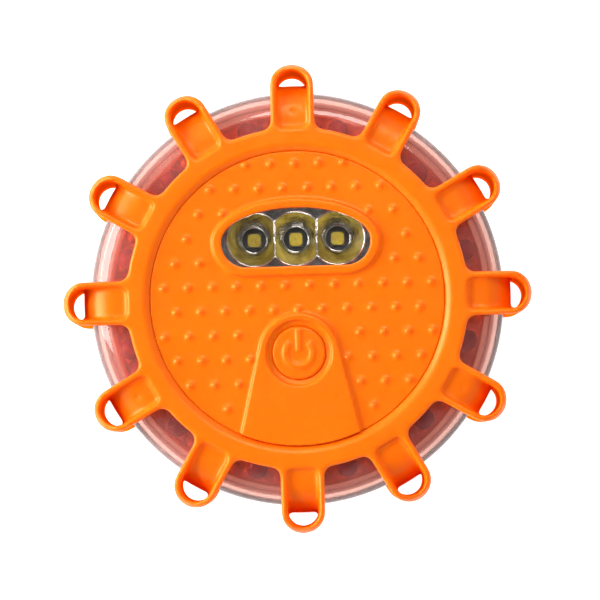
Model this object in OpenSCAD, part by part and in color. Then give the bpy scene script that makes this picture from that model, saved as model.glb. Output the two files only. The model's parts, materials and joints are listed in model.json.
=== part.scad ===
// LED safety flare: a round warning lamp with a clear body, red edge lamps, three white
// front lamps, and a soft orange bumper with twelve open lugs.
// Millimetres, +Z up. Origin: centre of the resting plane, which the bumper stands on.

/* [Overall] */
// diameter over the tips of the bumper lugs
overall_d = 110; // [109:0.5:116]
// overall height, from the resting plane to the top of the bumper
overall_h = 34; // [34:0.5:38]
// number of lugs, and of red lamps between them
lug_count = 12; // [12]

/* [Bumper] */
// width of a lug
lug_w = 10.2; // [9.6:0.1:11]
// thickness of the standing wall around a lug
lug_wall = 1.4; // [1.2:0.1:1.8]
// gap between the lug wall and the body, open from top to bottom
lug_gap = 3.4; // [3:0.1:4]
// rounding of the lug tips above and below, seen from the side
tip_round = 5; // [2:0.5:6]
// thickness of the rubber lying on the body
skin_t = 1.7; // [1.4:0.1:1.8]
// outer radius of the flat collar between the lugs
collar_r = 40; // [39.4:0.2:40.6]
// inner radius of the lower collar
collar_in_r = 35.5; // [35.4:0.1:35.8]
// inner radius of the upper collar, at the foot of its sloped edge
collar_top_r = 34.5; // [34.4:0.05:34.7]
// width of the sloped edge of the upper collar
slope_w = 1.4; // [1.1:0.1:1.6]
// fillet radius where a lug meets the collar
valley_r = 2.2; // [1.6:0.1:2.6]

/* [Clear body] */
// shoulder radius of the clear body
shoulder_r = 6; // [5:0.25:6.5]
// wall thickness of the clear body
shell_t = 2; // [1.6:0.1:2.2]

/* [Top cover] */
// spacing of the grip dots, along a row and from row to row
dot_pitch = 5.7; // [5.5:0.1:6.5]
// radius of a grip dot
dot_r = 0.95; // [0.85:0.05:0.95]
// how far the collar, the window rim and the button plate stand above the dotted disc
step_h = 1; // [0.8:0.1:1.2]

/* [Front lamps] */
// distance between the front lamps
lamp_pitch = 9.8; // [9.6:0.1:10]
// radius of a reflector cup at its rim
cup_r = 6.4; // [6.2:0.1:6.6]
// distance of the front lamps from the centre
lamp_y = 14; // [13.8:0.1:14.2]

/* [Power button] */
// distance of the button from the centre
button_y = -12.8; // [-13.2:0.1:-12.4]
// radius of the button pad
pad_r = 6.2; // [5.8:0.1:6.3]
// button travel
travel = 0.8; // [0.4:0.1:0.8]

/* [Hanging bail] */
// bend radius of the wire bail
bail_r = 33; // [32.9:0.05:33.1]
// radius of the bail wire
wire_r = 1.2; // [1:0.05:1.3]

/* [Hidden] */
$fn = 96;

gap = 0.05;                                  // assembly gap between parts that touch
sector = 360 / lug_count;
tip_r = overall_d / 2;
body_r = tip_r - lug_wall - lug_gap - skin_t;
body_z0 = 3;
body_z1 = overall_h - 3;
split_z = (body_z0 + body_z1) / 2;
seal_t = 0.4;
lip_t = 0.8;
disc_z = overall_h - step_h;
slot_w = lug_w - 2 * lug_wall;
lug_round_x = tip_r - lug_w / 2;
slot_in_x = collar_r - 0.2;
slot_corner = 1.5;

front_board_z = body_z1 - 7;                 // underside of the front board
board_t = 1.6;
front_top_z = front_board_z + board_t;
board_posts = [[-16.5, -15], [16.5, -15], [-16.5, 1.5], [16.5, 1.5]];

main_board_z = 15.8;
main_top_z = main_board_z + board_t;
main_board_r = 33.5;
tray_posts = [[-14, -19.8], [14, -19.8], [-14, 19.8], [14, 19.8]];
led_z = main_top_z + 2.8;
led_tip_r = body_r - shell_t - 2.9;
led_len = 8.6;

boss_r = 38;
boss_angles = [60, 120, 240, 300];

cell_r = 5.25;
cell_len = 44.5;
cell_pitch = 10.9;
cell_z = 8.95;
tray_in = [49.6, 33.2, 14.4];                // inner length, inner width, ceiling height
tray_wall = 1.2;
door = [52, 35.2];
door_z = 1;
door_t = 1.6;
door_ear = [27, -9];
magnet_y = 24.7;
magnet_r = 5;
bail_z = 2.6;
groove_c = 0.4;                              // room beside the wire in its groove
pin_end_x = 29.6;
shelf_z = 7.2;                               // underside of the reflecting shelf
shelf_t = 1.2;
shelf_r = body_r - shell_t - 1.2;
stud_pitch = 5;                              // degrees between the reflecting studs

button_web_z = overall_h - 0.9;              // top of the thin web around the button
flange_z = button_web_z - 1.65;              // underside of the button flange

rubber_col = [1, 0.48, 0.08];
clear_col = [0.86, 0.9, 0.92, 0.4];
base_col = [0.9, 0.35, 0.08];
black_col = [0.1, 0.1, 0.11];
steel_col = [0.75, 0.76, 0.78];

// ---------- shared outlines ----------

// half section of a disc with rounded outer corners, from z0 to z1
module puck_2d(r, z0, z1, f) {
    translate([0, z0]) square([r - f, z1 - z0]);
    translate([0, z0 + f]) square([r, z1 - z0 - 2 * f]);
    translate([r - f, z0 + f]) circle(r = f);
    translate([r - f, z1 - f]) circle(r = f);
}

// solid disc with rounded outer corners; grow enlarges it all round
module body_puck(grow) {
    rotate_extrude()
        puck_2d(body_r + grow, body_z0 - grow, body_z1 + grow, shoulder_r + grow);
}

// plan of one lug, from the centre outwards along +X
module lug_2d() {
    translate([0, -lug_w / 2]) square([lug_round_x, lug_w]);
    translate([lug_round_x, 0]) circle(r = lug_w / 2);
}

// plan of the fillets on both sides of a lug
module lug_fillets_2d() {
    cy = lug_w / 2 + valley_r;
    cx = sqrt(pow(collar_r + valley_r, 2) - cy * cy);
    toe = [cx, cy] * (collar_r / (collar_r + valley_r));
    for (s = [-1, 1]) {
        scale([1, s])
            difference() {
                polygon([[cx - 6, 0], [cx, 0], [cx, cy - valley_r], [cx, cy], toe, [cx - 6, cy]]);
                translate([cx, cy]) circle(r = valley_r);
            }
    }
}

// plan of the whole bumper
module bumper_2d() {
    circle(r = collar_r);
    for (i = [0 : lug_count - 1]) {
        rotate(i * sector) {
            lug_2d();
            lug_fillets_2d();
        }
    }
}

// plan of the recess and slot inside one lug
module slot_2d() {
    y = slot_w / 2 - slot_corner;
    translate([slot_in_x + slot_corner, -slot_w / 2])
        square([lug_round_x - slot_in_x - slot_corner, slot_w]);
    translate([slot_in_x, -y]) square([slot_corner + 1, 2 * y]);
    translate([slot_in_x + slot_corner, y]) circle(r = slot_corner);
    translate([slot_in_x + slot_corner, -y]) circle(r = slot_corner);
    translate([lug_round_x, 0]) circle(r = slot_w / 2);
}

// D-shaped plan of the front window, enlarged by g
module window_2d(g) {
    a = 17.5 + g;
    b = 7.8 + g;
    c = 5.9 + g;
    y0 = lamp_y - 0.6;
    x0 = 17.5 - 5.9;
    polygon(concat(
        [for (t = [0 : 4 : 180]) [a * cos(t), y0 + b * sin(t)]],
        [for (t = [190 : 10 : 270]) [-x0 + c * cos(t), y0 + c * sin(t)]],
        [for (t = [270 : 10 : 350]) [x0 + c * cos(t), y0 + c * sin(t)]]
    ));
}

// keyhole plan of the raised plate that carries the button
module button_plate_2d() {
    r = 9.3;
    lean = 13.3;
    reach = 30;
    p = [r * cos(lean), r * sin(lean)];
    q = p + reach * [sin(lean), -cos(lean)];
    intersection() {
        translate([0, button_y]) {
            circle(r = r);
            polygon([p, q, [-q[0], q[1]], [-p[0], p[1]]]);
        }
        circle(r = collar_top_r - gap);
    }
}

module rounded_rect_2d(size, r) {
    x = size[0] / 2;
    y = size[1] / 2;
    translate([-x, r - y]) square([2 * x, 2 * (y - r)]);
    translate([r - x, -y]) square([2 * (x - r), 2 * y]);
    for (sx = [-1, 1], sy = [-1, 1]) {
        translate([sx * (x - r), sy * (y - r)]) circle(r = r);
    }
}

// cross recess of a screw head, cut upwards or downwards from z = 0
module cross_recess(size, depth) {
    for (a = [0, 90]) {
        rotate(a) cube([size, size / 4, 2 * depth], center = true);
    }
}

// pan-head screw pointing along -Z, head underside at z = 0
module pan_screw(head_r, head_h, shank_r, shank_l) {
    difference() {
        union() {
            cylinder(r = head_r, h = head_h);
            translate([0, 0, -shank_l]) cylinder(r = shank_r, h = shank_l + 0.1);
        }
        translate([0, 0, head_h]) cross_recess(head_r * 1.2, head_h * 0.55);
    }
}

// ---------- outside ----------

// soft bumper: collar, twelve lugs that run over the shoulder, and the lower collar
module bumper() {
    color(rubber_col)
        difference() {
            intersection() {
                linear_extrude(overall_h) bumper_2d();
                rotate_extrude() puck_2d(tip_r, 0, overall_h, tip_round);
            }
            body_puck(gap);
            translate([0, 0, -1]) cylinder(r = collar_in_r, h = split_z);
            translate([0, 0, split_z - 2]) cylinder(r = collar_top_r, h = overall_h);
            translate([0, 0, disc_z])
                cylinder(r1 = collar_top_r, r2 = collar_top_r + 2 * slope_w, h = 2 * step_h);
            for (i = [0 : lug_count - 1]) {
                rotate(i * sector)
                    difference() {
                        translate([0, 0, -1]) linear_extrude(overall_h + 2) slot_2d();
                        body_puck(skin_t);
                    }
            }
            for (a = [90, 210, 330]) {
                rotate(a) translate([44, 0, body_z1 + skin_t - 0.8]) cylinder(r = 0.7, h = 3);
            }
        }
}

// staggered rows of grip dots, left out under the window rim and the button plate
module grip_dots() {
    row_y0 = 3;
    for (k = [-5 : 5]) {
        y = row_y0 + k * dot_pitch;
        shift = (k % 2 == 0) ? 0.5 : 0;
        for (m = [-6 : 6]) {
            x = (m + shift) * dot_pitch;
            if (norm([x, y]) < collar_top_r - dot_r && !dot_blocked(x, y))
                translate([x, y, disc_z - 0.3]) sphere(r = dot_r, $fn = 24);
        }
    }
}

// true where the window rim or the button plate takes the place of a dot
function dot_blocked(x, y) =
    in_window_rim(x, y) || in_button_plate(x, y);

function in_window_rim(x, y) =
    y > lamp_y - 0.6
        ? pow(x / 20.9, 2) + pow((y - lamp_y + 0.6) / 11.2, 2) < 1
        : abs(x) < 20.9 && y > lamp_y - 9.7;

function in_button_plate(x, y) =
    y < button_y + 9.3 && abs(x) < 10.2 + max(0, 0.25 * (button_y - y));

// dotted disc with the window rim and the button plate
module top_cover() {
    color(rubber_col)
        difference() {
            union() {
                translate([0, 0, body_z1 + gap])
                    cylinder(r = collar_top_r - gap, h = disc_z - body_z1 - gap);
                translate([0, 0, disc_z - 0.5]) linear_extrude(step_h + 0.5) button_plate_2d();
                translate([0, 0, disc_z - 0.5]) linear_extrude(step_h + 0.5) window_2d(2.1);
                grip_dots();
            }
            translate([0, 0, body_z1 - 1]) linear_extrude(10) window_2d(0);
            translate([0, 0, body_z1 - 1]) linear_extrude(disc_z - body_z1 + 1) window_2d(1);
            translate([0, button_y, 0]) {
                translate([0, 0, button_web_z]) cylinder(r = pad_r + 1.5, h = 5);
                translate([0, 0, body_z1 - 1]) cylinder(r = pad_r + gap, h = 5);
                translate([0, 0, body_z1 - 1])
                    cylinder(r = pad_r + 1.4, h = button_web_z - 0.6 - body_z1 + 1);
            }
        }
}

// push button with a raised power symbol, and its flange under the cover
module power_button() {
    sym_r = 3.8;
    sym_t = 1.2;
    color(rubber_col)
        translate([0, button_y, 0]) {
            translate([0, 0, flange_z]) cylinder(r = pad_r + 1, h = 1);
            translate([0, 0, flange_z]) cylinder(r = pad_r, h = overall_h - 0.5 - flange_z);
            translate([0, 0, overall_h - 0.6]) linear_extrude(0.5) {
                difference() {
                    circle(r = sym_r);
                    circle(r = sym_r - sym_t);
                    polygon([[0, 0], [-4.2, 4.2], [4.2, 4.2]]);
                }
                translate([-sym_t / 2, 0.4]) square([sym_t, 5.2]);
            }
        }
}

// clear pane over the reflector
module window_pane() {
    color(clear_col)
        translate([0, 0, disc_z - 1.1]) linear_extrude(1.05) window_2d(0.95);
}

// ---------- front lamps and switch ----------

function cup_radius(z) =
    sqrt(2.85 * 2.85 + z * (cup_r * cup_r - 2.85 * 2.85) / 5.2);

// half section of a reflector cup, enlarged by g
module cup_2d(g) {
    polygon(concat(
        [[0, 0]],
        [for (i = [0 : 12]) [cup_radius(i * 5.2 / 12) + g, i * 5.2 / 12]],
        [[0, 5.2]]
    ));
}

// chromed reflector: three cups joined by a thin plate
module reflector() {
    z0 = front_top_z + 0.1;
    color(steel_col)
        difference() {
            intersection() {
                translate([0, 0, z0]) {
                    for (i = [-1 : 1]) {
                        translate([i * lamp_pitch, lamp_y, 0]) cylinder(r = 3.5, h = 1);
                        translate([i * lamp_pitch, lamp_y, 0.9]) rotate_extrude() cup_2d(0.5);
                    }
                    translate([0, 0, 4.6]) linear_extrude(0.6) window_2d(0.4);
                }
                translate([0, 0, z0]) linear_extrude(8) window_2d(0.4);
            }
            for (i = [-1 : 1]) {
                translate([i * lamp_pitch, lamp_y, z0 - 1]) cylinder(r = 2.85, h = 3);
                translate([i * lamp_pitch, lamp_y, z0 + 0.95]) rotate_extrude() cup_2d(0);
            }
        }
}

module white_leds() {
    color([0.3, 0.27, 0.2])
        for (i = [-1 : 1]) {
            translate([i * lamp_pitch, lamp_y, front_top_z + 0.35])
                cube([3.4, 3.4, 0.7], center = true);
        }
}

module white_led_phosphors() {
    color([0.95, 0.85, 0.1])
        for (i = [-1 : 1]) {
            translate([i * lamp_pitch, lamp_y, front_top_z + 0.7])
                linear_extrude(0.3) rounded_rect_2d([3, 3], 0.9);
        }
}

module front_board() {
    color(black_col)
        difference() {
            translate([0, 1, front_board_z]) linear_extrude(board_t)
                rounded_rect_2d([40, 40], 3);
            for (p = board_posts) {
                translate([p[0], p[1], front_board_z - 1]) cylinder(r = 1.1, h = 5, $fn = 32);
            }
        }
}

module front_board_screws() {
    color(steel_col)
        for (p = board_posts) {
            translate([p[0], p[1], front_board_z]) rotate([180, 0, 0])
                pan_screw(1.9, 1.2, 0.95, 5.6);
        }
}

module tact_switch() {
    color(black_col)
        translate([0, button_y, front_top_z])
            difference() {
                translate([0, 0, 1.75]) cube([6, 6, 3.5], center = true);
                translate([0, 0, 1.8]) cylinder(r = 1.8, h = 3, $fn = 32);
            }
}

module switch_plunger() {
    color([0.85, 0.84, 0.8])
        translate([0, button_y, front_top_z + 1.8 + travel + 0.2])
            cylinder(r = 1.74, h = flange_z - front_top_z - 2 - travel, $fn = 32);
}

// ---------- clear body ----------

// upper clear shell with the case bosses and the posts of the front board
module upper_shell() {
    z0 = split_z + seal_t;
    color(clear_col)
        difference() {
            union() {
                difference() {
                    body_puck(0);
                    body_puck(-shell_t);
                    translate([0, 0, -1]) cylinder(r = body_r + 5, h = z0 + 1);
                    translate([0, 0, z0 - 1])
                        cylinder(r = body_r - shell_t + lip_t + gap, h = 2.1);
                }
                for (a = boss_angles) {
                    rotate(a) translate([boss_r, 0, shelf_z + shelf_t + gap])
                        cylinder(r = 3.2, h = body_z1 - 1 - shelf_z - shelf_t - gap, $fn = 48);
                }
                for (p = board_posts) {
                    translate([p[0], p[1], front_top_z + gap])
                        cylinder(r = 2.2, h = body_z1 - 1 - front_top_z - gap, $fn = 48);
                }
            }
            for (a = boss_angles) {
                rotate(a) translate([boss_r, 0, 5]) cylinder(r = 1.5, h = 19, $fn = 32);
            }
            for (p = board_posts) {
                translate([p[0], p[1], front_top_z - 1]) cylinder(r = 1, h = 5.4, $fn = 32);
            }
            translate([0, 0, body_z1 - shell_t - 1]) linear_extrude(shell_t + 2) window_2d(0.5);
            translate([0, button_y, body_z1 - shell_t - 1])
                cylinder(r = pad_r + 1.6, h = shell_t + 2);
        }
}

module seal_ring() {
    color([0.2, 0.2, 0.2])
        translate([0, 0, split_z])
            difference() {
                cylinder(r = body_r - 0.2, h = seal_t);
                translate([0, 0, -1])
                    cylinder(r = body_r - shell_t + lip_t + gap, h = seal_t + 2);
            }
}

// lower clear shell with a locating lip and countersunk screw holes
module lower_shell() {
    color(clear_col)
        difference() {
            union() {
                difference() {
                    body_puck(0);
                    body_puck(-shell_t);
                    translate([0, 0, split_z]) cylinder(r = body_r + 5, h = overall_h);
                }
                translate([0, 0, split_z - 1])
                    difference() {
                        cylinder(r = body_r - shell_t + lip_t, h = 2.2);
                        translate([0, 0, -1]) cylinder(r = body_r - shell_t, h = 5);
                    }
            }
            translate([0, 0, body_z0 - 1]) cylinder(r = collar_in_r, h = shell_t + 2);
            for (a = boss_angles) {
                rotate(a) translate([boss_r, 0, body_z0]) {
                    translate([0, 0, -1]) cylinder(r = 1.55, h = 5, $fn = 32);
                    translate([0, 0, -0.01]) cylinder(r1 = 2.46, r2 = 1.46, h = 1.1, $fn = 32);
                }
            }
        }
}

// countersunk screws that hold the two shells and the base plate together
module case_screws() {
    color(steel_col)
        for (a = boss_angles) {
            rotate(a) translate([boss_r, 0, body_z0 + gap])
                difference() {
                    union() {
                        cylinder(r1 = 2.35, r2 = 1.4, h = 1, $fn = 32);
                        cylinder(r = 1.4, h = 19, $fn = 32);
                    }
                    cross_recess(2.6, 0.7);
                }
        }
}

// ---------- lamp board ----------

module main_board() {
    color([0.12, 0.4, 0.2])
        difference() {
            translate([0, 0, main_board_z]) cylinder(r = main_board_r, h = board_t);
            for (p = tray_posts) {
                translate([p[0], p[1], main_board_z - 1]) cylinder(r = 1.1, h = 5, $fn = 32);
            }
        }
}

module main_board_screws() {
    color(steel_col)
        for (p = tray_posts) {
            translate([p[0], p[1], main_top_z]) pan_screw(1.9, 1.2, 0.95, 6);
        }
}

// red lamps lying flat and pointing outwards between the lugs
module red_leds() {
    base_x = led_tip_r - led_len;
    color([0.85, 0.1, 0.08, 0.8])
        for (i = [0 : lug_count - 1]) {
            rotate((i + 0.5) * sector) translate([base_x, 0, led_z]) rotate([0, 90, 0]) {
                cylinder(r = 2.9, h = 1, $fn = 48);
                cylinder(r = 2.45, h = led_len - 2.45, $fn = 48);
                translate([0, 0, led_len - 2.45]) sphere(r = 2.45, $fn = 48);
            }
        }
}

// two bent legs for each red lamp
module red_led_leads() {
    base_x = led_tip_r - led_len;
    foot_x = main_board_r - 1.5;
    color(steel_col)
        for (i = [0 : lug_count - 1], s = [-1, 1]) {
            rotate((i + 0.5) * sector) translate([0, s * 1.27 - 0.25, 0]) {
                translate([foot_x - 0.25, 0, led_z - 0.25]) cube([base_x - foot_x + 0.25, 0.5, 0.5]);
                translate([foot_x - 0.25, 0, main_top_z])
                    cube([0.5, 0.5, led_z - main_top_z + 0.25]);
            }
        }
}

module controller_chip() {
    color(black_col)
        translate([7, 7, main_top_z]) {
            translate([-2.5, -2, 0.15]) cube([5, 4, 1.5]);
            for (i = [0 : 3], s = [-1, 1]) {
                translate([-2.1 + 1.27 * i, s * 2.5 - 0.5, 0]) cube([0.4, 1, 0.3]);
            }
        }
}

module resistors() {
    color([0.15, 0.15, 0.17])
        for (i = [0 : lug_count - 1]) {
            rotate((i + 0.5) * sector) translate([27, -0.8, main_top_z]) cube([3.2, 1.6, 0.6]);
        }
}

module capacitor() {
    color([0.2, 0.25, 0.45])
        translate([-10, 6, main_top_z]) cylinder(r = 2.5, h = 5, $fn = 48);
}

// wires that carry power and the switch signal between the two boards
module link_wires() {
    color([0.8, 0.1, 0.1])
        for (i = [0 : 3]) {
            translate([-10 + 2.5 * i, -16.5, main_top_z])
                cylinder(r = 0.6, h = front_board_z - main_top_z, $fn = 24);
        }
}

// ---------- base and batteries ----------

module door_2d(g) {
    rounded_rect_2d([door[0] + 2 * g, door[1] + 2 * g], 4 + g);
    for (s = [-1, 1]) {
        translate([s * door_ear[0], door_ear[1]]) circle(r = 2.8 + g, $fn = 48);
    }
}

// ring shelf round the base plate: supporting wall, upright rim and reflecting studs
module reflecting_shelf() {
    z0 = body_z0 + shell_t + gap;
    translate([0, 0, z0]) cylinder(r = 40.5, h = shelf_z - z0 + 0.1);
    translate([0, 0, shelf_z]) cylinder(r = shelf_r, h = shelf_t);
    translate([0, 0, shelf_z]) difference() {
        cylinder(r = shelf_r, h = shelf_t + 1.6);
        translate([0, 0, 0.5]) cylinder(r = shelf_r - 1, h = 10);
    }
    for (a = [0 : stud_pitch : 359]) {
        rotate(a + stud_pitch / 2) translate([shelf_r - 2.9, 0, shelf_z + shelf_t - 0.3])
            sphere(r = 1.5, $fn = 24);
    }
}

// base plate with the bail groove, the magnet pockets and the battery opening
module base_plate() {
    in_r = bail_r - wire_r - groove_c;
    out_r = bail_r + wire_r + groove_c;
    top_z = 5.4;
    color(base_col)
        difference() {
            union() {
                translate([0, 0, door_z]) cylinder(r = collar_in_r - 0.1, h = 2);
                translate([0, 0, door_z]) difference() {
                    cylinder(r = collar_in_r - 0.1, h = shelf_z + 0.5 - door_z);
                    translate([0, 0, 1]) cylinder(r = in_r - 1, h = 10);
                }
                difference() {
                    reflecting_shelf();
                    translate([0, 0, 1]) cylinder(r = in_r - 1, h = 20);
                    translate([0, 0, 1]) difference() {
                        cylinder(r = 39.3, h = shelf_z - 1);
                        for (a = boss_angles) {
                            rotate(a) translate([boss_r, 0, 0]) cylinder(r = 3.2, h = 20, $fn = 48);
                        }
                        cylinder(r = collar_in_r - 0.1, h = 20);
                    }
                }
                for (s = [-1, 1]) {
                    translate([0, s * magnet_y, door_z])
                        cylinder(r = magnet_r + 1.2, h = 4.2, $fn = 64);
                    translate([s * 30.4 - 1.4, -3, door_z]) cube([2.8, 6, top_z - door_z]);
                }
            }
            translate([0, 0, door_z - 1]) linear_extrude(4) door_2d(0.15);
            translate([0, 0, door_z - 1])
                difference() {
                    cylinder(r = out_r, h = bail_z + wire_r + 0.2 - door_z + 1);
                    translate([0, 0, -1]) cylinder(r = in_r, h = 10);
                    translate([-50, -100, -1]) cube([100, 100 - 2.6, 10]);
                }
            for (s = [-1, 1]) {
                translate([s * 31.2, 0, bail_z]) rotate([0, 90, 0])
                    cylinder(r = wire_r + gap, h = 4, center = true, $fn = 48);
                translate([0, s * magnet_y, door_z - 1])
                    cylinder(r = magnet_r + gap, h = 4.25, $fn = 64);
            }
            rotate(62) translate([bail_r, 0, door_z - 1]) cylinder(r = 4, h = 2.8, $fn = 48);
            for (a = boss_angles) {
                rotate(a) translate([boss_r, 0, 3]) cylinder(r = 1.55, h = 8, $fn = 32);
            }
        }
}

// open-bottomed box that holds the three cells
module battery_tray() {
    out = [tray_in[0] + 2 * tray_wall, tray_in[1] + 2 * tray_wall];
    z0 = 3.05;
    color(black_col)
        difference() {
            union() {
                translate([0, 0, z0])
                    linear_extrude(tray_in[2] + 0.8 - z0) rounded_rect_2d(out, 3);
                for (p = tray_posts) {
                    translate([p[0], p[1], 5.5])
                        cylinder(r = 2.5, h = main_board_z - gap - 5.5, $fn = 48);
                }
                for (s = [-1, 1]) {
                    translate([s * door_ear[0], door_ear[1], z0])
                        cylinder(r = 1.8, h = 7, $fn = 48);
                }
            }
            translate([-tray_in[0] / 2, -tray_in[1] / 2, z0 - 1])
                cube([tray_in[0], tray_in[1], tray_in[2] - z0 + 1]);
            for (s = [-1, 1]) {
                translate([s * 24.4 - 0.4, -1.6, 10]) cube([0.8, 3.2, 10]);
                translate([s * door_ear[0], door_ear[1], z0 - 1])
                    cylinder(r = 1.2, h = 6.6, $fn = 32);
            }
            for (p = tray_posts) {
                translate([p[0], p[1], main_board_z - 7]) cylinder(r = 1, h = 10, $fn = 32);
            }
        }
}

module cells() {
    color([0.15, 0.5, 0.3])
        for (i = [-1 : 1]) {
            rotate((i == 0) ? 180 : 0) translate([24.2 - cell_len, i * cell_pitch, cell_z])
                rotate([0, 90, 0]) {
                    cylinder(r = cell_r, h = cell_len - 0.8);
                    cylinder(r = 1.9, h = cell_len, $fn = 48);
                }
        }
}

// coil of round wire along +Z
module coil(r, wire, length, turns) {
    steps = 16 * turns;
    sides = 8;
    points = [for (i = [0 : steps], j = [0 : sides - 1])
        let (a = 360 * turns * i / steps, b = 360 * j / sides, d = r + wire * cos(b))
            [d * cos(a), d * sin(a), wire + (length - 2 * wire) * i / steps + wire * sin(b)]];
    side_faces = [for (i = [0 : steps - 1], j = [0 : sides - 1])
        let (k = (j + 1) % sides)
            [i * sides + k, i * sides + j, (i + 1) * sides + j, (i + 1) * sides + k]];
    first = [for (j = [0 : sides - 1]) j];
    last = [for (j = [0 : sides - 1]) (steps + 1) * sides - 1 - j];
    polyhedron(points, concat(side_faces, [first, last]), convexity = 8);
}

// coil springs at the flat ends of the cells
module contact_springs() {
    spring_l = 2 * 24.2 - cell_len;
    color(steel_col)
        for (i = [-1 : 1]) {
            rotate((i == 0) ? 180 : 0)
                translate([-24.2, i * cell_pitch, cell_z]) rotate([0, 90, 0])
                    coil(2.6, 0.35, spring_l, 3);
        }
}

// contact plates at both ends, two of them with a tab up to the lamp board
module contact_plates() {
    color(steel_col)
        for (s = [-1, 1]) {
            for (i = [-1 : 1]) {
                translate([s * 24.4 - 0.15, i * cell_pitch - 4.2, cell_z - 4.2])
                    cube([0.3, 8.4, 8.4]);
            }
            translate([s * 24.4 - 0.15, -1.4, cell_z]) cube([0.3, 2.8, main_board_z - cell_z]);
        }
}

module battery_door() {
    color(base_col)
        difference() {
            translate([0, 0, door_z]) linear_extrude(door_t) door_2d(0);
            for (s = [-1, 1]) {
                translate([s * door_ear[0], door_ear[1], door_z - 1]) {
                    cylinder(r = 1.35, h = 5, $fn = 32);
                    cylinder(r = 2.25, h = 1.9, $fn = 32);
                }
            }
            for (i = [-3 : 3]) {
                translate([i * 2.4 - 0.5, 9, door_z - 0.5]) cube([1, 6, 0.9]);
            }
        }
}

// flat gasket between the door and the battery tray
module door_seal() {
    color([0.25, 0.25, 0.25])
        translate([0, 0, door_z + door_t])
            linear_extrude(0.4)
                difference() {
                    rounded_rect_2d([51.6, 34.8], 3.8);
                    rounded_rect_2d([49.4, 32.8], 2.7);
                }
}

module door_screws() {
    color(steel_col)
        for (s = [-1, 1]) {
            translate([s * door_ear[0], door_ear[1], door_z + 0.9]) rotate([180, 0, 0])
                pan_screw(2.1, 0.8, 1.15, 6);
        }
}

module magnets() {
    color(steel_col)
        for (s = [-1, 1]) {
            translate([0, s * magnet_y, door_z + 0.2]) cylinder(r = magnet_r, h = 3, $fn = 64);
        }
}

// half-round wire bail that folds out of the base to hang the lamp
module hanging_bail() {
    color(steel_col)
        translate([0, 0, bail_z]) {
            rotate_extrude(angle = 180) translate([bail_r, 0]) circle(r = wire_r, $fn = 32);
            for (s = [-1, 1]) {
                translate([s * (bail_r + pin_end_x) / 2, 0, 0]) rotate([0, 90, 0])
                    cylinder(r = wire_r, h = bail_r - pin_end_x, center = true, $fn = 32);
            }
        }
}

bumper();
top_cover();
power_button();
window_pane();
reflector();
white_leds();
white_led_phosphors();
front_board();
front_board_screws();
tact_switch();
switch_plunger();
upper_shell();
seal_ring();
lower_shell();
case_screws();
main_board();
main_board_screws();
red_leds();
red_led_leads();
controller_chip();
resistors();
capacitor();
link_wires();
base_plate();
battery_tray();
cells();
contact_springs();
contact_plates();
battery_door();
door_seal();
door_screws();
magnets();
hanging_bail();
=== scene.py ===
import json
import math

import bmesh
import bpy
from mathutils import Matrix, Vector


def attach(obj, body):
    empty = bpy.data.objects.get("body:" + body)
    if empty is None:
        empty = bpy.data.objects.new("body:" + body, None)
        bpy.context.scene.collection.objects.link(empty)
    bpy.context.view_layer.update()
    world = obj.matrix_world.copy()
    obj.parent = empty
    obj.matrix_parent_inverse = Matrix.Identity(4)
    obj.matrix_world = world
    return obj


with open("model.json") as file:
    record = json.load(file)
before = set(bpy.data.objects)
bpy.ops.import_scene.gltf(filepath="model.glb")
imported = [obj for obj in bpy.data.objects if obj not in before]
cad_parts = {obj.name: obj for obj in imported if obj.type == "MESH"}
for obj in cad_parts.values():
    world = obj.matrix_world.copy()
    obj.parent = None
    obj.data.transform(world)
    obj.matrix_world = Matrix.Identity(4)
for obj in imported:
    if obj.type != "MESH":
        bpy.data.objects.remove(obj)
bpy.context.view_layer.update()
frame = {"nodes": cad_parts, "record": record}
cad = frame["nodes"]
MM = 0.001

# the CAD's sizes that the visual pieces follow, in mm
SEAM_R = 34.5
LAMP_Y = 14.0
LAMP_PITCH = 9.8
CUP_R = 6.4
CUP_HOLE_R = 2.85
CUP_DEPTH = 5.2
CUP_FLOOR_Z = 26.65
WINDOW_HALF_W = 17.9
WINDOW_RISE = 8.2
WINDOW_CORNER_R = 6.3
WINDOW_Y = 13.4


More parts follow.
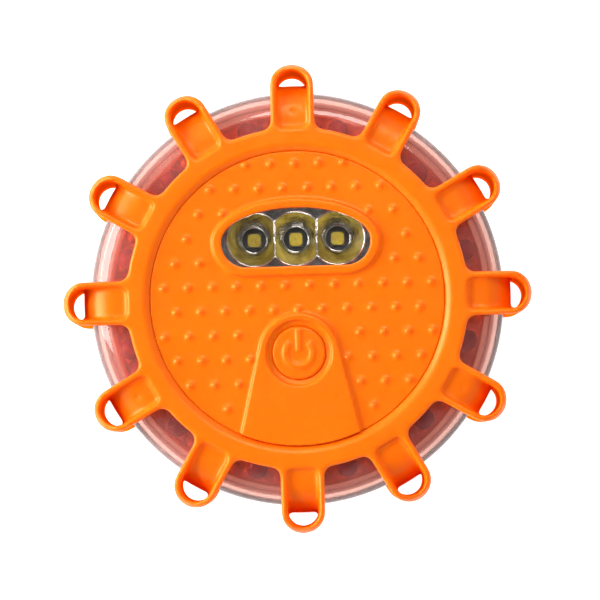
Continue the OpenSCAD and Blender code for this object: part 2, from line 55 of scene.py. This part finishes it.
# ---------------------------------------------------------------- materials
class Mat:
    """A node material with short helpers for procedural detail."""

    def __init__(self, name):
        self.m = bpy.data.materials.new(name)
        self.m.use_nodes = True
        self.t = self.m.node_tree
        self.b = self.t.nodes["Principled BSDF"]
        self.out = self.t.nodes["Material Output"]
        self.pos = self.new("ShaderNodeTexCoord").outputs["Object"]

    def new(self, kind):
        return self.t.nodes.new(kind)

    def link(self, a, b):
        self.t.links.new(a, b)

    def noise(self, size_mm, detail=3, rough=0.5):
        """Noise fixed to the object, with features about size_mm across."""
        n = self.new("ShaderNodeTexNoise")
        n.inputs["Scale"].default_value = 1 / (size_mm * MM)
        n.inputs["Detail"].default_value = detail
        n.inputs["Roughness"].default_value = rough
        self.link(self.pos, n.inputs["Vector"])
        return n.outputs["Fac"]

    def remap(self, value, to_min, to_max, from_min=0.3, from_max=0.7):
        n = self.new("ShaderNodeMapRange")
        n.inputs["From Min"].default_value = from_min
        n.inputs["From Max"].default_value = from_max
        n.inputs["To Min"].default_value = to_min
        n.inputs["To Max"].default_value = to_max
        self.link(value, n.inputs["Value"])
        return n.outputs["Result"]

    def facing(self):
        """0 where the surface is seen square on, 1 at grazing angles."""
        return self.new("ShaderNodeLayerWeight").outputs["Facing"]

    def colours(self, value, *stops):
        """Colour ramp over value; each stop is (position, colour)."""
        n = self.new("ShaderNodeValToRGB")
        ramp = n.color_ramp
        while len(ramp.elements) < len(stops):
            ramp.elements.new(0.5)
        for e, (position, colour) in zip(ramp.elements, stops):
            e.position = position
            e.color = (*colour, 1)
        self.link(value, n.inputs["Fac"])
        return n.outputs["Color"]

    def bump(self, *heights):
        """Each height is (value, depth in mm)."""
        last = None
        for value, depth in heights:
            n = self.new("ShaderNodeBump")
            n.inputs["Strength"].default_value = 1
            n.inputs["Distance"].default_value = depth * MM
            self.link(value, n.inputs["Height"])
            if last:
                self.link(last, n.inputs["Normal"])
            last = n.outputs["Normal"]
        self.link(last, self.b.inputs["Normal"])

    def set(self, **values):
        """Sets inputs of the Principled BSDF from values, colours or sockets."""
        for name, v in values.items():
            s = self.b.inputs[name.replace("_", " ")]
            if isinstance(v, bpy.types.NodeSocket):
                self.link(v, s)
            else:
                s.default_value = (*v, 1) if hasattr(v, "__len__") else v


def rubber():
    """Orange silicone: translucent, with highlights that fade at grazing angles and a painted red-orange glow
    there.
    """
    k = Mat("orange_rubber")
    cloud = k.noise(22, 4, 0.6)
    grain = k.noise(0.32, 2, 0.6)
    k.set(
        Base_Color=k.colours(cloud, (0.3, (0.95, 0.155, 0.001)), (0.7, (0.98, 0.174, 0.002))),
        Roughness=k.remap(k.noise(3.5, 3), 0.30, 0.40),
        Specular_IOR_Level=k.remap(k.facing(), 0.48, 0.0, 0.6, 0.86),
        Specular_Tint=(1.0, 0.74, 0.34),
        Subsurface_Weight=0.45,
        Subsurface_Scale=2.2 * MM,
        # painted light: surfaces seen edge on, such as thin slot walls, glow red-orange by an emission that
        # stands in for light bounced inside the slots
        Emission_Color=(0.95, 0.08, 0.0),
        Emission_Strength=k.remap(k.facing(), 0.0, 0.45, 0.8, 0.94),
    )
    k.b.inputs["Subsurface Radius"].default_value = (1, 0.22, 0.03)
    k.bump((k.noise(6, 2), 0.03), (grain, 0.012))
    return k.m


def clear_plastic(name, tint, rough=0.03, haze=0.0):
    """See-through plastic; haze is the share of light scattered at each surface."""
    haze_colour = (0.86, 0.72, 0.73, 1)
    shadow_tint_power = 0.3  # a shadow is tinted less than the view through the plastic
    light_tint = tuple(min(1, c * 1.03) for c in tint)
    k = Mat(name)
    k.set(
        Base_Color=k.colours(k.noise(30, 2), (0.3, tint), (0.7, light_tint)),
        Roughness=k.remap(k.noise(5, 3), rough * 0.6, rough * 1.6),
        IOR=1.42,
        Transmission_Weight=1.0,
    )
    k.bump((k.noise(9, 2), 0.02))
    see = k.new("ShaderNodeBsdfTransparent")
    see.inputs["Color"].default_value = (*(c**shadow_tint_power for c in tint), 1)
    path = k.new("ShaderNodeLightPath")
    mix = k.new("ShaderNodeMixShader")
    k.link(path.outputs["Is Shadow Ray"], mix.inputs["Fac"])
    body = k.b.outputs["BSDF"]
    if haze:
        cloud = k.new("ShaderNodeBsdfDiffuse")
        cloud.inputs["Color"].default_value = haze_colour
        blend = k.new("ShaderNodeMixShader")
        k.link(k.remap(k.noise(4, 3), haze * 0.8, haze * 1.2), blend.inputs["Fac"])
        k.link(body, blend.inputs[1])
        k.link(cloud.outputs["BSDF"], blend.inputs[2])
        body = blend.outputs["Shader"]
    k.link(body, mix.inputs[1])
    k.link(see.outputs["BSDF"], mix.inputs[2])
    k.link(mix.outputs["Shader"], k.out.inputs["Surface"])
    return k.m


def plain_plastic(name, dark, light, rough=(0.4, 0.55), grain_mm=0.35, depth=0.01):
    k = Mat(name)
    k.set(
        Base_Color=k.colours(k.noise(12, 4, 0.6), (0.3, dark), (0.7, light)),
        Roughness=k.remap(k.noise(2.5, 3), *rough),
    )
    k.bump((k.noise(grain_mm, 2), depth))
    return k.m


def base_plastic():
    """Orange plastic with a painted glow: a weak emission lights the shelf seen through the clear body, so it
    isn't dark.
    """
    k = Mat("base_plastic")
    k.set(
        Base_Color=k.colours(k.noise(12, 4, 0.6), (0.3, (0.93, 0.15, 0.006)), (0.7, (0.98, 0.18, 0.009))),
        Roughness=k.remap(k.noise(2.5, 3), 0.2, 0.34),
        # painted light: the plastic glows orange though it is no lamp, standing in for light reaching the
        # shelf inside the clear body
        Emission_Color=(0.95, 0.16, 0.02),
        Emission_Strength=0.16,
    )
    k.bump((k.noise(0.6, 2), 0.01))
    return k.m


def metal(name, dark, light, rough=(0.2, 0.35), grain_mm=0.8, depth=0.004):
    k = Mat(name)
    k.set(
        Metallic=1.0,
        Base_Color=k.colours(k.noise(4, 3), (0.3, dark), (0.7, light)),
        Roughness=k.remap(k.noise(grain_mm, 3, 0.6), *rough),
    )
    k.bump((k.noise(grain_mm, 2), depth))
    return k.m


def chrome():
    """Plating over moulded cups, with the slow waves of a moulded surface."""
    k = Mat("chromed_plastic")
    k.set(
        Metallic=1.0,
        Base_Color=k.colours(k.noise(3.5, 2), (0.35, (0.50, 0.46, 0.42)), (0.65, (0.84, 0.84, 0.83))),
        Roughness=k.remap(k.noise(1.6, 3), 0.04, 0.16),
    )
    k.bump((k.noise(2.6, 2), 0.045))
    return k.m


def phosphor():
    k = Mat("phosphor")
    k.set(
        Base_Color=k.colours(k.noise(0.8, 3), (0.3, (0.30, 0.17, 0.006)), (0.7, (0.40, 0.32, 0.015))),
        Roughness=k.remap(k.noise(0.6, 3), 0.25, 0.45),
    )
    k.bump((k.noise(0.3, 2), 0.01))
    return k.m


def red_lens():
    k = Mat("red_lens")
    k.set(
        Base_Color=k.colours(k.noise(3, 2), (0.3, (0.80, 0.06, 0.03)), (0.7, (0.90, 0.10, 0.05))),
        Roughness=k.remap(k.noise(1.5, 2), 0.04, 0.12),
        Transmission_Weight=0.55,
        IOR=1.5,
    )
    k.bump((k.noise(2.5, 2), 0.01))
    return k.m


def circuit_board():
    """Green solder mask over paler raised tracks."""
    k = Mat("circuit_board")
    mask, track = (0.012, 0.10, 0.035), (0.03, 0.19, 0.07)
    tracks = k.noise(3.2, 1, 0.3)
    k.set(
        Base_Color=k.colours(tracks, (0.46, mask), (0.5, track), (0.54, mask)),
        Roughness=k.remap(k.noise(1.2, 3), 0.25, 0.4),
    )
    k.bump((tracks, 0.03))
    return k.m


def cell_jacket():
    """Green battery sleeve with a gold band at one end."""
    band_from, band_to = -8 * MM, -7 * MM
    k = Mat("cell_jacket")
    split = k.new("ShaderNodeSeparateXYZ")
    k.link(k.pos, split.inputs["Vector"])
    band = k.remap(split.outputs["X"], 0, 1, band_from, band_to)
    k.set(
        Base_Color=k.colours(band, (0.4, (0.02, 0.16, 0.08)), (0.6, (0.45, 0.30, 0.10))),
        Roughness=k.remap(k.noise(2, 3), 0.2, 0.35),
    )
    k.bump((k.noise(1.5, 2), 0.01))
    return k.m


# one material for each material slot in the record
LOOK = {
    "orange_rubber": rubber(),
    "clear_plastic": clear_plastic("clear_plastic", (0.62, 0.33, 0.27), 0.06, 0.055),
    "clear_pane": clear_plastic("clear_pane", (0.95, 0.95, 0.94)),
    "chromed_plastic": chrome(),
    "led_package": plain_plastic(
        "led_package", (0.035, 0.028, 0.018), (0.07, 0.055, 0.03), (0.3, 0.45), 0.3, 0.004
    ),
    "phosphor": phosphor(),
    "circuit_board": circuit_board(),
    "lamp_board": plain_plastic("lamp_board", (0.010, 0.009, 0.008), (0.022, 0.020, 0.018), (0.3, 0.45), 0.5),
    "screw_steel": metal("screw_steel", (0.50, 0.50, 0.50), (0.66, 0.66, 0.65), (0.22, 0.4), 0.5),
    "black_plastic": plain_plastic("black_plastic", (0.012, 0.012, 0.013), (0.022, 0.022, 0.024)),
    "seal_rubber": plain_plastic(
        "seal_rubber", (0.50, 0.50, 0.48), (0.62, 0.62, 0.60), grain_mm=0.4, depth=0.006
    ),
    "red_lens": red_lens(),
    "contact_steel": metal("contact_steel", (0.58, 0.56, 0.52), (0.72, 0.70, 0.66), grain_mm=0.6),
    "capacitor_sleeve": plain_plastic(
        "capacitor_sleeve", (0.01, 0.015, 0.06), (0.02, 0.03, 0.1), (0.15, 0.3), 1, 0.004
    ),
    "wire_cover": plain_plastic("wire_cover", (0.40, 0.01, 0.01), (0.55, 0.02, 0.02), (0.3, 0.45), 0.8, 0.004),
    "base_plastic": base_plastic(),
    "cell_jacket": cell_jacket(),
    "magnet_plating": metal("magnet_plating", (0.60, 0.60, 0.58), (0.74, 0.74, 0.72), (0.12, 0.28), 1.2),
    "bail_wire": metal("bail_wire", (0.55, 0.55, 0.55), (0.70, 0.70, 0.70), (0.14, 0.3), 0.6),
}
for part in frame["record"]["subparts"]:
    mesh = cad[part["node"]].data
    mesh.materials.clear()
    mesh.materials.append(LOOK[part["material_slot"]])


# ---------------------------------------------------------------- soft moulded edges
def rounding(name, rounds, start_mm, full_mm):
    """Node group that smooths a mesh; the smoothing grows from start_mm to full_mm from the axis."""
    g = bpy.data.node_groups.new(name, "GeometryNodeTree")
    for way in ("INPUT", "OUTPUT"):
        g.interface.new_socket("Geometry", in_out=way, socket_type="NodeSocketGeometry")
    source = g.nodes.new("NodeGroupInput")
    sink = g.nodes.new("NodeGroupOutput")
    place = g.nodes.new("GeometryNodeInputPosition")
    flat = g.nodes.new("ShaderNodeVectorMath")
    flat.operation = "MULTIPLY"
    flat.inputs[1].default_value = (1, 1, 0)
    reach = g.nodes.new("ShaderNodeVectorMath")
    reach.operation = "LENGTH"
    weight = g.nodes.new("ShaderNodeMapRange")
    weight.inputs["From Min"].default_value = start_mm * MM
    weight.inputs["From Max"].default_value = full_mm * MM
    blur = g.nodes.new("GeometryNodeBlurAttribute")
    blur.data_type = "FLOAT_VECTOR"
    blur.inputs["Iterations"].default_value = rounds
    move = g.nodes.new("GeometryNodeSetPosition")
    link = g.links.new
    link(place.outputs["Position"], flat.inputs[0])
    link(flat.outputs["Vector"], reach.inputs[0])
    link(reach.outputs["Value"], weight.inputs["Value"])
    link(place.outputs["Position"], next(x for x in blur.inputs if x.name == "Value" and x.enabled))
    link(weight.outputs["Result"], blur.inputs["Weight"])
    link(source.outputs["Geometry"], move.inputs["Geometry"])
    link(next(x for x in blur.outputs if x.enabled), move.inputs["Position"])
    link(move.outputs["Geometry"], sink.inputs["Geometry"])
    return g


def soften(node, voxel_mm, rounds, keep, start_mm=-1.0, full_mm=0.0):
    """Rounds a rubber part's edges as a moulding tool does; keep is the share of faces kept."""
    o = cad[node]
    remesh = o.modifiers.new("Remesh", "REMESH")
    remesh.mode = "VOXEL"
    remesh.voxel_size = voxel_mm * MM * 1
    remesh.use_smooth_shade = True
    smooth = o.modifiers.new("Rounding", "NODES")
    smooth.node_group = rounding("round_" + node, rounds, start_mm, full_mm)
    thin = o.modifiers.new("Decimate", "DECIMATE")
    thin.ratio = keep


def bevel_cups():
    """Rounds the cut edges between the reflector's cups."""
    rim = cad["reflector"].modifiers.new("Rim", "BEVEL")
    rim.width = 0.16 * MM
    rim.segments = 3
    rim.limit_method = "ANGLE"
    rim.angle_limit = math.radians(35)


# the edges that meet at the seam between collar and cover stay sharp, so that it stays tight
soften("bumper", 0.4, 6, 0.45, SEAM_R + 0.1, SEAM_R + 0.6)
soften("top_cover", 0.25, 6, 0.45, SEAM_R - 0.15, SEAM_R - 0.6)
soften("power_button", 0.2, 8, 0.6)
bevel_cups()


# ---------------------------------------------------------------- rounded beads on the reflector
def inside_window(x, y, inset):
    """True inside the D-shaped outline of the front window, pulled in by inset (mm)."""
    if y >= WINDOW_Y:
        return (x / (WINDOW_HALF_W - inset)) ** 2 + ((y - WINDOW_Y) / (WINDOW_RISE - inset)) ** 2 < 1
    past_corner = max(0.0, abs(x) - (WINDOW_HALF_W - WINDOW_CORNER_R))
    return past_corner**2 + (y - WINDOW_Y) ** 2 < (WINDOW_CORNER_R - inset) ** 2


def tube(bm, path, radius, sides=10):
    """Adds a closed tube along a closed path of points."""
    n = len(path)
    rings = []
    for i, p in enumerate(path):
        ahead = (path[(i + 1) % n] - path[i - 1]).normalized()
        side = ahead.cross(Vector((0, 0, 1))).normalized()
        over = side.cross(ahead)
        rings.append(
            [
                bm.verts.new(p + radius * (math.cos(a) * side + math.sin(a) * over))
                for a in (2 * math.pi * j / sides for j in range(sides))
            ]
        )
    for i in range(n):
        for j in range(sides):
            k = (j + 1) % sides
            bm.faces.new((rings[i][j], rings[i][k], rings[(i + 1) % n][k], rings[(i + 1) % n][j]))


def cup_edge(i):
    """Points along the upper edge of cup i, cut by its neighbours and by the window's outline."""
    points, rim_r, wall_gap, window_gap, step, sunk = 120, 6.35, 0.12, 0.15, 0.05, 0.05
    edge = []
    for turn in range(points):
        a = 2 * math.pi * turn / points
        c, d = math.cos(a), math.sin(a)
        r = rim_r
        if (c > 0 and i < 1) or (c < 0 and i > -1):
            r = min(r, (LAMP_PITCH / 2 - (wall_gap if i else 0.0)) / max(abs(c), 1e-6))
        while r > CUP_HOLE_R and not inside_window(i * LAMP_PITCH + r * c, LAMP_Y + r * d, window_gap):
            r -= step
        rise = (r**2 - CUP_HOLE_R**2) * CUP_DEPTH / (CUP_R**2 - CUP_HOLE_R**2)
        z = CUP_FLOOR_Z + rise - sunk
        edge.append(Vector((i * LAMP_PITCH + r * c, LAMP_Y + r * d, z)) * MM)
    return edge


def lamp_ring(i):
    """Points of the circle round the lamp hole of cup i."""
    points, ring_r, lift = 72, 3.0, 0.12
    turns = (2 * math.pi * turn / points for turn in range(points))
    return [
        Vector((i * LAMP_PITCH + ring_r * math.cos(a), LAMP_Y + ring_r * math.sin(a), CUP_FLOOR_Z + lift)) * MM
        for a in turns
    ]


def cup_beads():
    """Bright rounded edges round each cup and round its lamp hole."""
    edge_bead_r, ring_bead_r = 0.22 * MM, 0.2 * MM
    bm = bmesh.new()
    for i in (-1, 0, 1):
        tube(bm, cup_edge(i), edge_bead_r)
        tube(bm, lamp_ring(i), ring_bead_r)
    mesh = bpy.data.meshes.new("cup_beads")
    bm.normal_update()
    bm.to_mesh(mesh)
    bm.free()
    for face in mesh.polygons:
        face.use_smooth = True
    mesh.materials.append(LOOK["chromed_plastic"])
    o = bpy.data.objects.new("cup_beads", mesh)
    bpy.context.scene.collection.objects.link(o)
    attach(o, "case")


cup_beads()


# ---------------------------------------------------------------- floor, room and lights
def floor_look():
    k = Mat("floor_white")
    k.set(
        Base_Color=k.colours(k.noise(60, 3), (0.3, (0.56, 0.56, 0.56)), (0.7, (0.60, 0.60, 0.60))),
        Roughness=0.9,
        Emission_Color=(1, 1, 1),
        Emission_Strength=1.0,
    )
    return k.m


FLOOR_HALF = 3.0
FLOOR_Z = -0.0002
corners = [(x * FLOOR_HALF, y * FLOOR_HALF, FLOOR_Z) for x, y in ((-1, -1), (1, -1), (1, 1), (-1, 1))]
floor_mesh = bpy.data.meshes.new("floor")
floor_mesh.from_pydata(corners, [], [(0, 1, 2, 3)])
floor_mesh.materials.append(floor_look())
floor = bpy.data.objects.new("floor", floor_mesh)
bpy.context.scene.collection.objects.link(floor)


def studio_world():
    """A white room: bright low down and on the left, with a dark ceiling over the camera."""
    world = bpy.data.worlds.new("studio")
    bpy.context.scene.world = world
    world.use_nodes = True
    tree = world.node_tree
    link = tree.links.new

    def ramp(source, *stops):
        n = tree.nodes.new("ShaderNodeValToRGB")
        while len(n.color_ramp.elements) < len(stops):
            n.color_ramp.elements.new(0.5)
        for e, (position, grey) in zip(n.color_ramp.elements, stops):
            e.position = position
            e.color = (grey, grey, grey, 1)
        link(source, n.inputs["Fac"])
        return n.outputs["Color"]

    def maths(kind, a, b):
        n = tree.nodes.new("ShaderNodeMath")
        n.operation = kind
        for socket, v in zip(n.inputs, (a, b)):
            if isinstance(v, float):
                socket.default_value = v
            else:
                link(v, socket)
        return n.outputs["Value"]

    place = tree.nodes.new("ShaderNodeTexCoord")
    split = tree.nodes.new("ShaderNodeSeparateXYZ")
    link(place.outputs["Generated"], split.inputs["Vector"])
    height = ramp(split.outputs["Z"], (0.0, 1.0), (0.42, 0.9), (0.80, 0.10))
    leftness = maths("ADD", maths("MULTIPLY", split.outputs["X"], -0.5), 0.5)
    side = ramp(leftness, (0.0, 0.75), (1.0, 1.0))
    background = tree.nodes["Background"]
    link(maths("MULTIPLY", height, side), background.inputs["Color"])
    background.inputs["Strength"].default_value = 1.25


def area_light(name, place, size, power):
    """A soft white light aimed at the middle of the lamp."""
    target = Vector((0, 0, 0.02))
    data = bpy.data.lights.new(name, "AREA")
    data.shape = "RECTANGLE"
    data.size, data.size_y = size
    data.energy = power
    o = bpy.data.objects.new(name, data)
    o.location = place
    o.rotation_euler = (target - Vector(place)).to_track_quat("-Z", "Y").to_euler()
    bpy.context.scene.collection.objects.link(o)


studio_world()
area_light("key_left", (-1.3, 0.2, 0.58), (0.9, 1.0), 37)
area_light("fill_top", (0.15, 0.75, 1.2), (0.6, 0.4), 9)


# ---------------------------------------------------------------- camera
def photo_camera():
    """Almost straight above the lamp, turned a little, as in the photo."""
    target = Vector((0, 0, 34 * MM))
    distance = 1.163
    view_width = 0.14009
    elevation = math.radians(88.3)
    roll = math.radians(1.6)
    data = bpy.data.cameras.new("camera")
    data.sensor_width = 36
    data.lens = data.sensor_width * distance / view_width
    data.shift_x = 0.00417
    data.shift_y = -0.00333
    data.clip_end = 20
    cam = bpy.data.objects.new("camera", data)
    bpy.context.scene.collection.objects.link(cam)
    back = Vector((0, -math.cos(elevation), math.sin(elevation)))
    right = Vector((math.sin(roll), math.cos(roll), 0)).cross(back).normalized()
    up = back.cross(right).normalized()
    turn = Matrix((right, up, back)).transposed().to_4x4()
    cam.matrix_world = Matrix.Translation(target + back * distance) @ turn
    bpy.context.scene.camera = cam


photo_camera()
bpy.context.scene.view_settings.view_transform = "Standard"
bpy.context.scene.view_settings.look = "None"
